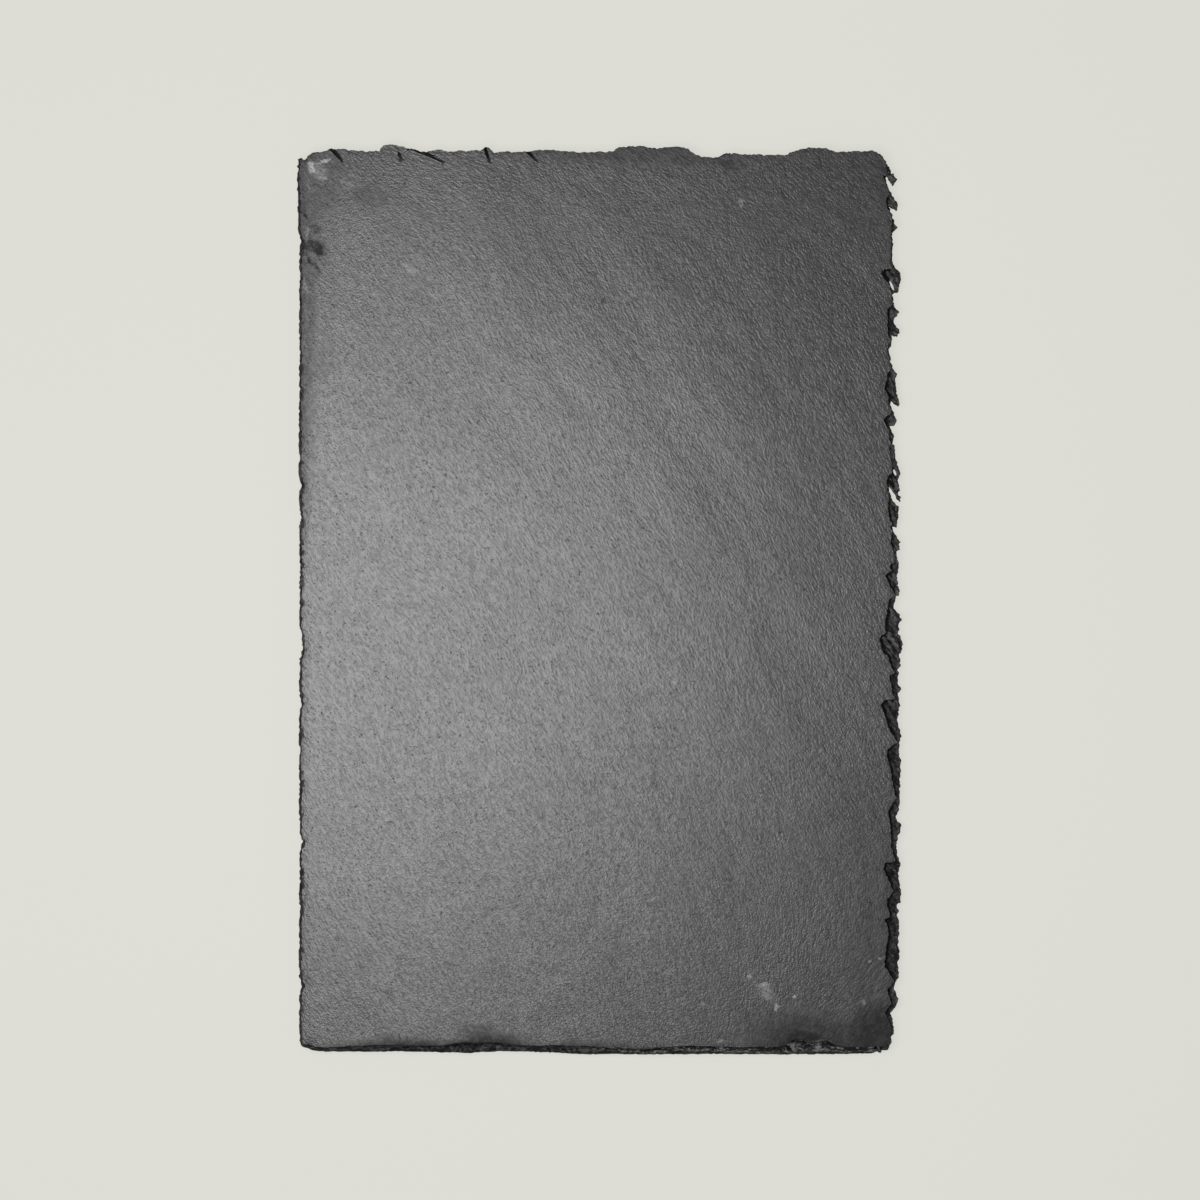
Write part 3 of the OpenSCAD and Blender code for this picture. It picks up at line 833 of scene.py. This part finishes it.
def new_group(name, vectors, numbers, outputs):
    """An empty shader node group with inputs of both kinds and outputs. Gives its net, inputs and end."""
    tree = bpy.data.node_groups.new(name, "ShaderNodeTree")
    rows = [(title, "INPUT", "NodeSocketVector") for title in vectors]
    rows += [(title, "INPUT", "NodeSocketFloat") for title in numbers]
    rows += [(title, "OUTPUT", "NodeSocketFloat") for title in outputs]
    for title, way, kind in rows:
        tree.interface.new_socket(title, in_out=way, socket_type=kind)
    net = Net(tree)
    return net, net.add("NodeGroupInput").outputs, net.add("NodeGroupOutput")


def grain_group():
    """Fine grain of split stone, stretched along one direction."""
    net, given, end = new_group("stretched_grain", ["Vector"], ["Turn", "Grains", "Stretch"], ["Height"])
    turned = net.turned(given["Vector"], given["Turn"])
    along = net.math("DIVIDE", given["Grains"], given["Stretch"])
    scaled = net.vector("MULTIPLY", turned, net.joined(along, given["Grains"], given["Grains"]))
    fine = net.noise(scaled, 1.0, 1.0, 0.45)
    broad = net.noise(scaled, 0.5, 0.0)
    net.fill(end, {"Height": net.blend(0.25, fine, broad)})
    return net.tree


def leaf_group():
    """Thin leaves of the stone on a broken edge: fine level lines that waver and break off."""
    net, given, end = new_group("split_leaves", ["Vector"], [], ["Lines", "Chips"])
    leaves, run, sway = 2600.0, 260.0, 0.0012
    waver = net.noise(given["Vector"], 190.0, 2.0)
    moved = net.times(net.math("SUBTRACT", waver, 0.5), sway)
    parts = net.parts(given["Vector"])
    height = net.times(net.math("ADD", parts[2], moved), leaves)
    layered = net.joined(net.times(parts[0], run), net.times(parts[1], run), height)
    chips = net.noise(given["Vector"], 900.0, 3.0, 0.6)
    net.fill(end, {"Lines": net.noise(layered, 1.0, 2.0, 0.6), "Chips": chips})
    return net.tree


def mark_group():
    """Strength of one oval mark of the upper face at a place, all in millimetres."""
    net, given, end = new_group("oval_mark", ["Vector", "Middle", "Sizes"], ["Turn", "Strength"], ["Mark"])
    away = net.vector("SUBTRACT", given["Vector"], given["Middle"])
    shares = net.vector("DIVIDE", net.turned(away, given["Turn"]), given["Sizes"])
    size = net.add("ShaderNodeVectorMath", {0: shares}, operation="LENGTH").outputs["Value"]
    mark = net.ramp(size, 1.2, 0.4)
    net.fill(end, {"Mark": net.times(mark, given["Strength"])})
    return net.tree


def crack_group():
    """A thin crack of the upper face, painted dark with the shade inside it, that closes towards its end, all
    in millimetres.
    """
    numbers = ["Turn", "Length", "Width"]
    net, given, end = new_group("closing_crack", ["Vector", "Start"], numbers, ["Crack"])
    away = net.vector("SUBTRACT", given["Vector"], given["Start"])
    parts = net.parts(net.turned(away, given["Turn"]))
    share = net.math("DIVIDE", parts[0], given["Length"])
    half = net.times(given["Width"], net.ramp(share, 0.2, 1.05, 0.5, 0.0))
    across = net.math("DIVIDE", net.math("ABSOLUTE", parts[1]), half)
    crack = net.ramp(across, 1.2, 0.7)
    crack = net.times(crack, net.ramp(share, -0.35, -0.25))
    crack = net.times(crack, net.ramp(share, 1.02, 0.97))
    net.fill(end, {"Crack": crack})
    return net.tree


def new_material(name):
    """A material with its tree, its shader and the piece's own coordinates."""
    material = bpy.data.materials.new(name)
    material.use_nodes = True
    tree = material.node_tree
    shader = tree.nodes["Principled BSDF"]
    place = tree.nodes.new("ShaderNodeTexCoord").outputs["Object"]
    return material, Net(tree), shader, place


# Pale scuffs and dark stains of the upper face: middle, half length, half width, turn, strength
SCUFFS = [
    (-94.9, 142.3, 2.6, 1.2, 115, 1), (-90.9, 144.4, 3.3, 0.5, 20, 0.8), (-92.9, 140.4, 2.2, 0.9, 130, 0.6),
    (-91, 138.8, 1.5, 0.8, 150, 0.6), (-92.8, 141.2, 3.8, 2.7, 125, 0.3), (-83.9, 137.4, 3.6, 0.6, 158, 0.22),
    (-96.1, 136.2, 1.5, 0.5, 110, 0.35), (-96.9, 103.4, 3.2, 0.7, 100, 0.4),
    (-96.6, 120.9, 2.2, 0.7, 80, 0.35), (-62.6, 109.3, 1.8, 0.7, 150, 0.4), (-62.2, 109, 3.2, 1.7, 150, 0.25),
    (-60.9, 108.2, 1.1, 0.6, 10, 0.35), (24.8, -27.1, 0.8, 0.5, 120, 0.4), (46.3, 130.6, 1.6, 0.8, 90, 0.3),
    (49.2, -123.9, 0.8, 1.3, 0, 0.4), (53.5, -126.5, 2.4, 0.8, 12, 0.45), (58.2, -134.1, 0.6, 1.5, 10, 0.6),
    (63.8, -130.5, 0.6, 0.6, 0, 0.6), (55, -129.5, 3.6, 2.6, 140, 0.25), (34, -132.8, 0.8, 0.6, 0, 0.35),
    (88.9, -118.9, 0.8, 0.8, 0, 0.6), (92.4, -117.8, 1, 0.6, 0, 0.45), (86.9, -132.2, 0.5, 0.5, 0, 0.35),
    (39.6, -145, 1.2, 0.8, 30, 0.25),
]
STAINS = [
    (-94, 116.2, 5.4, 3.1, 165, 0.85), (-92.2, 115, 3, 2.5, 120, 0.95), (-97.4, 116.6, 2, 1.8, 0, 1),
    (-93.4, 122.2, 2.6, 1.7, 150, 0.85), (-95.9, 119.5, 1.9, 0.8, 20, 0.8), (-96, 112, 3.8, 0.8, 122, 1),
    (-97, 126.6, 2.3, 0.7, 130, 0.9), (-94.5, 112.5, 5.5, 8.5, 0, 0.35), (-98.9, 127.9, 1.2, 1, 0, 1),
    (-93.4, 109.6, 3.4, 1, 115, 0.9), (-90.6, 80, 6, 8, 0, 0.2), (-40.3, -141.4, 7, 2.4, 4, 0.55),
    (43.5, 143.4, 6.5, 2.6, 0, 0.6), (0.8, 98.6, 0.5, 1.8, 150, 0.8), (90.2, 89, 1.6, 1.8, 60, 0.5),
]
# Broad soft ovals of painted shade on the upper face, along its edges and round the front right corner, in the
# same order
PAINTED_SHADES = [
    (70, -147, 27, 14, 172, 0.7), (67.5, -147, 15, 8, 172, 1), (90, -146, 19, 14, 60, 0.85),
    (-62, -150, 28, 6.5, 178, 0.9), (-36, -149, 18, 8, 178, 0.9), (-2, -150, 22, 5.5, 178, 0.7),
    (-91, 137, 9, 14, 160, 0.3), (-76, 133, 8, 5, 170, 0.3), (10, 148, 60, 6, 178, 0.4),
    (98, 138, 12, 12, 0, 0.4), (-99, 95, 75, 7, 90, 0.4), (94, -118, 40, 17, 90, 0.3),
]


def mark_field(net, place, marks):
    """Strength of the strongest of the marks at a place in millimetres."""
    values = []
    for x, y, half_length, half_width, turn, strength in marks:
        sockets = {"Vector": place, "Middle": (x, y, 0), "Sizes": (half_length, half_width, 1e6),
                   "Turn": -math.radians(turn), "Strength": strength}
        values.append(net.group(OVAL_MARK, sockets)["Mark"])
    return net.strongest(values)


def crack_field(net, place):
    """How strongly the painted shade of the cracks darkens a place in millimetres."""
    values = []
    for (start_x, start_y), (end_x, end_y), width, _ in CLEFTS:
        run = Vector((end_x - start_x, end_y - start_y))
        sockets = {"Vector": place, "Start": (start_x, start_y, 0), "Turn": -math.atan2(run.y, run.x),
                   "Length": run.length, "Width": width * 0.8}
        values.append(net.group(CLOSING_CRACK, sockets)["Crack"])
    return net.strongest(values)


def grain(net, place, turn, grains, stretch):
    """Height of the grain at a place, with the turn in degrees, grains to a metre and their stretch."""
    sockets = {"Vector": place, "Turn": -math.radians(turn), "Grains": grains, "Stretch": stretch}
    return net.group(STRETCHED_GRAIN, sockets)["Height"]


def grain_field(net, place, grains, stretch):
    """The grain over the whole face, each direction where it counts, as in grain_shares."""
    at = net.vector("SCALE", place, 1 / MM)
    corner = net.vector("DISTANCE", at, (*CORNER_MIDDLE, FACE_Z / MM))
    swayed = net.swayed(place, 16.0, 1.0, 0.012)
    heights = [grain(net, swayed, turn, grains, stretch) for turn in GRAIN_TURNS]
    field = net.blend(net.ramp(net.parts(at)[1], *BACK_PASSAGE), heights[0], heights[1])
    field = net.blend(net.ramp(corner, *reversed(SIDE_PASSAGE)), field, heights[2])
    return net.blend(net.ramp(corner, *reversed(CORNER_PASSAGE)), field, heights[3])


# In metres: how far below the upper face its marks end, Y where the front edge's look starts and is full, X
# where its right part turns paler with lines that are partly painted highlight, and Y where painted shade
# darkens the broken plates towards the front
MARK_DEPTHS = (2.2 * MM, 1.8 * MM)
FRONT_LOOK_Y = (-143 * MM, -146 * MM)
PALE_FRONT_X = (-12 * MM, 12 * MM)
PLATE_SHADE_Y = (-10 * MM, -80 * MM)
# Where painted shade darkens the lower part of the front edge, in shares of the thickness from below
UNDER_SHADE_SHARES = (0.50, 0.43)
# Tones, which are shares of the light that comes back: of the broken plates, the front's bevel and the steep
# walls, each from the dark of its lines to the pale, and of what is rubbed, chipped or powdered. The near
# black of the walls and of the plates between their slivers is mostly painted shade, and the pale ridges and
# front lines are partly painted highlight.
PLATE_TONES = (0.001, 0.050)
BEVEL_TONES = (0.002, 0.040)
WALL_TONES = (0.002, 0.020)
RUBBED_TONE = 0.55
SPECK_TONE = 0.20
PALE_LINE_TONE = 0.15
RIDGE_TONE = 0.12
STONE_BUMP = 0.21 * MM
RUBBER_BUMP = 0.06 * MM
FILM_BUMP = 0.08 * MM


def slate_material():
    """Satin split slate, with dark layered broken edges, worn arrises, scuffs, stains and cracks. Painted
    shade darkens broad ovals of the upper face, the cracks, the edge's hollows and steep walls and the foot of
    the front edge. The pale ridges, the front's pale lines and the worn arris band are partly painted
    highlight. A noise's scale counts its grains in a metre."""
    material, net, shader, place = new_material("split_slate")
    fine = grain_field(net, place, 1500.0, 2.7)
    grit = net.noise(place, 1750.0, 1.0, 0.5)
    height = net.blend(0.42, fine, grit)
    leaves = net.group(SPLIT_LEAVES, {"Vector": place})
    slivers = grain(net, place, 125, 820.0, 4.0)
    broken, hollow, arris, steep = (net.attribute(name) for name in ("broken", "hollow", "arris", "steep"))
    cloud = net.noise(place, 22.0, 3.0, 0.55)
    powder = net.noise(place, 1500.0, 3.0, 0.6)
    patch = net.noise(place, 420.0, 4.0, 0.65)
    specks = net.ramp(net.noise(place, 900.0, 0.0), 0.875, 0.90)
    pits = net.ramp(net.noise(place, 1250.0, 0.0), 0.72, 0.80)
    ragged = net.swayed(place, 420.0, 3.0, 0.0028)
    marks_at = net.vector("SCALE", ragged, 1 / MM)
    crooked = net.swayed(place, 500.0, 1.0, 0.0008)
    cracks_at = net.vector("SCALE", crooked, 1 / MM)
    sides = net.parts(place)
    upper = net.ramp(sides[2], *(FACE_Z - depth for depth in MARK_DEPTHS))
    scuff = net.times(mark_field(net, marks_at, SCUFFS), upper)
    stain = net.times(mark_field(net, marks_at, STAINS), upper)
    # Painted shade: the broad dark ovals along the edges and round the front right corner
    shade = mark_field(net, marks_at, PAINTED_SHADES)
    gash = net.times(crack_field(net, cracks_at), upper)

    tone = net.add("ShaderNodeMath", {0: cloud, 1: 0.010, 2: 0.025}, operation="MULTIPLY_ADD").outputs[0]
    grained = net.times(tone, net.ramp(fine, 0.34, 0.66, 0.50, 1.50))
    grained = net.faded(grained, pits, 0.4)
    # The band along the worn left rim is paler: partly wear, partly a painted sheen of its rounded rim
    grained = net.faded(grained, arris, 1.7)
    rubbed = net.times(scuff, net.ramp(powder, 0.30, 0.60), clamp=True)
    face_tone = net.blend(rubbed, grained, RUBBED_TONE)
    face_tone = net.blend(net.times(specks, 0.5), face_tone, SPECK_TONE)
    soiled = net.times(stain, net.ramp(patch, 0.36, 0.58, 0.45, 1.0))
    shaded = net.times(shade, net.ramp(patch, 0.36, 0.60, 0.75, 1.0))
    # Stains and painted shade together darken the face and take away its satin and gloss
    stain_and_painted_shade = net.math("MAXIMUM", soiled, shaded)
    face_tone = net.faded(face_tone, stain_and_painted_shade, 0.1)

    front = net.ramp(sides[1], *FRONT_LOOK_Y)
    pale_front = net.times(front, net.ramp(sides[0], *PALE_FRONT_X))
    foot_line = net.ramp(sides[2], *(UNDER_Z + share * SLATE_T for share in UNDER_SHADE_SHARES))
    front_under_shade = net.times(front, foot_line)
    lines = net.ramp(leaves["Lines"], 0.46, 0.56)
    # The plates are near black between their slivers: partly painted shade in the grooves
    plate = net.blend(net.ramp(slivers, 0.46, 0.58), *PLATE_TONES)
    bevel = net.blend(net.ramp(leaves["Lines"], 0.44, 0.58), *BEVEL_TONES)
    # Pale lines on the right part of the front bevel: pale leaf edges, partly painted highlight
    bevel = net.blend(net.times(lines, pale_front), bevel, PALE_LINE_TONE)
    # Painted shade: the plates grow darker towards the front
    plate = net.times(plate, net.ramp(sides[1], *PLATE_SHADE_Y, 1.0, 0.55))
    shelf = net.blend(front, plate, bevel)
    shelf = net.times(shelf, net.ramp(leaves["Chips"], 0.35, 0.65, 0.4, 1.3))
    # Steep walls are painted near black: mostly painted shade, and a little of the darker fresh break
    wall = net.blend(net.ramp(leaves["Lines"], 0.44, 0.70), *WALL_TONES)
    steepness = net.math("SUBTRACT", steep, net.times(front, 0.22))
    edge_tone = net.blend(net.ramp(steepness, 0.40, 0.72), shelf, wall)
    # Painted shade: the lower part of the front edge turns near black
    edge_tone = net.faded(edge_tone, front_under_shade, 0.06)
    # Pale ridges of the edge: partly powdered fresh stone, partly painted highlight where the edge stands out
    powdered = net.ramp(powder, 0.42, 0.58)
    ridge = net.times(net.ramp(hollow, -0.12, -0.40), powdered)
    edge_tone = net.blend(net.times(ridge, 0.6), edge_tone, RIDGE_TONE)
    # Painted shade: the edge darkens to near black in its hollows
    edge_tone = net.times(edge_tone, net.ramp(hollow, 0.02, 0.22, 1.0, 0.03))
    whole = net.blend(broken, face_tone, edge_tone)
    # Painted shade: the cracks turn near black
    whole = net.faded(whole, gash, 0.02)

    satin = net.blend(cloud, 0.33, 0.27)
    satin = net.math("ADD", satin, net.ramp(height, 0.25, 0.75, 0.04, -0.04))
    satin = net.math("ADD", satin, net.times(pits, 0.16))
    matt = net.math("MAXIMUM", rubbed, net.times(stain_and_painted_shade, 0.95))
    satin = net.blend(matt, satin, 0.72)
    satin = net.blend(gash, satin, 0.95)
    rough = net.blend(net.ramp(steep, 0.30, 0.65), 0.45, 0.9)
    rough = net.blend(net.ramp(hollow, 0.02, 0.2), rough, 1.0)

    gloss = net.ramp(fine, 0.34, 0.66, 0.25, 0.41)
    gloss = net.faded(gloss, pits, 0.4)
    gloss = net.faded(gloss, matt, 0.1)
    dull = net.math("MAXIMUM", broken, gash)
    gloss = net.faded(gloss, dull, 0.0)

    edge_bump = net.math("ADD", leaves["Lines"], net.math("ADD", leaves["Chips"], slivers))
    net.fill(shader, {
        "Base Color": whole, "Roughness": net.blend(broken, satin, rough), "Coat Weight": gloss,
        "Coat Roughness": 0.30, "Specular IOR Level": 0.35,
        "Normal": net.bump(net.blend(broken, height, edge_bump), 1.0, STONE_BUMP),
    })
    return material


def rubber_material():
    """Black moulded rubber with a fine matt texture and a little dust."""
    material, net, shader, place = new_material("foot_rubber")
    mould = net.noise(place, 2600.0, 2.0, 0.6)
    dust = net.ramp(net.noise(place, 260.0, 4.0, 0.6), 0.48, 0.74)
    net.fill(shader, {
        "Base Color": net.blend(net.times(dust, 0.5), 0.012, 0.05),
        "Roughness": net.ramp(mould, 0.2, 0.8, 0.62, 0.82), "Normal": net.bump(mould, 0.6, RUBBER_BUMP),
    })
    return material


def film_material():
    """The pale double-sided film under the stone, a little clouded."""
    material, net, shader, place = new_material("adhesive_film")
    cloud = net.noise(place, 420.0, 3.0, 0.6)
    colours = {0: cloud, 6: (0.62, 0.58, 0.47, 1), 7: (0.76, 0.73, 0.63, 1)}
    net.fill(shader, {
        "Base Color": net.add("ShaderNodeMix", colours, data_type="RGBA").outputs[2],
        "Roughness": net.ramp(cloud, 0.2, 0.8, 0.34, 0.5), "Normal": net.bump(cloud, 0.4, FILM_BUMP),
    })
    return material


FLOOR_TONE = (0.738, 0.738, 0.687)
FLOOR_FLAT_SHARE = 0.85
FLOOR_HALF = 3.0


def floor_material():
    """A pale floor: mostly its own flat colour to the eye and in reflections, and the rest shows shadow."""
    material, net, shader, place = new_material("pale_floor")
    net.fill(shader, {"Base Color": (*FLOOR_TONE, 1), "Roughness": 1.0, "Specular IOR Level": 0.0})
    glow = net.add("ShaderNodeEmission", {"Color": (*FLOOR_TONE, 1), "Strength": 1.0})
    path = net.add("ShaderNodeLightPath").outputs
    seen = net.math("MAXIMUM", path["Is Camera Ray"], path["Is Glossy Ray"])
    seen = net.math("MAXIMUM", seen, path["Is Transmission Ray"])
    share = net.times(seen, FLOOR_FLAT_SHARE)
    mixed = net.add("ShaderNodeMixShader", {0: share, 1: shader.outputs[0], 2: glow.outputs[0]})
    net.fill(net.tree.nodes["Material Output"], {0: mixed.outputs[0]})
    return material


def build_floor():
    """A wide flat floor under the feet."""
    shape = bmesh.new()
    bmesh.ops.create_grid(shape, x_segments=2, y_segments=2, size=FLOOR_HALF)
    floor = new_piece("floor", shape, smooth=False)
    floor.data.materials.append(floor_material())


# The camera looks straight down. The picture is this wide at mid thickness of the slab.
EYE_HEIGHT = 1.5
PICTURE_WIDTH = 0.3956
SENSOR = 36.0


def build_camera():
    """Makes the camera and looks through it."""
    lens = bpy.data.cameras.new("camera")
    lens.sensor_width = SENSOR
    lens.lens = SENSOR * EYE_HEIGHT / PICTURE_WIDTH
    camera = placed("camera", lens)
    camera.location = (0, 0, (FACE_Z + UNDER_Z) / 2 + EYE_HEIGHT)
    bpy.context.scene.camera = camera


# One round soft lamp hangs over the left of the board, out of the camera's sight
LAMP_PLACE = (-0.132, -0.016, 0.71)
LAMP_WIDTH = 0.37
LAMP_POWER = 3.7
SKY_LEVEL = 0.28


def build_lights():
    """Makes the lamp and the sky. The camera sees the floor's own colour beyond it."""
    lamp = bpy.data.lights.new("soft_lamp", "AREA")
    lamp.shape = "DISK"
    lamp.size = LAMP_WIDTH
    lamp.energy = LAMP_POWER
    post = placed("soft_lamp", lamp)
    post.location = LAMP_PLACE
    post.visible_camera = False
    world = bpy.data.worlds.new("studio")
    world.use_nodes = True
    net = Net(world.node_tree)
    sky = net.tree.nodes["Background"]
    net.fill(sky, {"Strength": SKY_LEVEL, "Color": (1, 1, 1, 1)})
    seen = net.add("ShaderNodeBackground", {"Color": (*FLOOR_TONE, 1), "Strength": 1.0})
    path = net.add("ShaderNodeLightPath").outputs
    shares = {0: path["Is Camera Ray"], 1: sky.outputs[0], 2: seen.outputs[0]}
    mixed = net.add("ShaderNodeMixShader", shares)
    net.fill(net.tree.nodes["World Output"], {0: mixed.outputs[0]})
    bpy.context.scene.world = world
    bpy.context.scene.view_settings.view_transform = "Standard"


STRETCHED_GRAIN = grain_group()
SPLIT_LEAVES = leaf_group()
OVAL_MARK = mark_group()
CLOSING_CRACK = crack_group()

board = dress_slate()
board.data.materials.clear()
board.data.materials.append(slate_material())
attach(board, "root")
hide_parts(SLAB)

rubber = rubber_material()
film = film_material()
for corner, spot in zip(CORNERS, FOOT_SPOTS):
    foot = moulded_foot(corner, spot)
    foot.data.materials.append(rubber)
    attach(foot, "root")
    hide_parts("foot_pad_" + corner)
    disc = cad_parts["adhesive_disc_" + corner]
    disc.data.materials.clear()
    disc.data.materials.append(film)

build_floor()
build_camera()
build_lights()
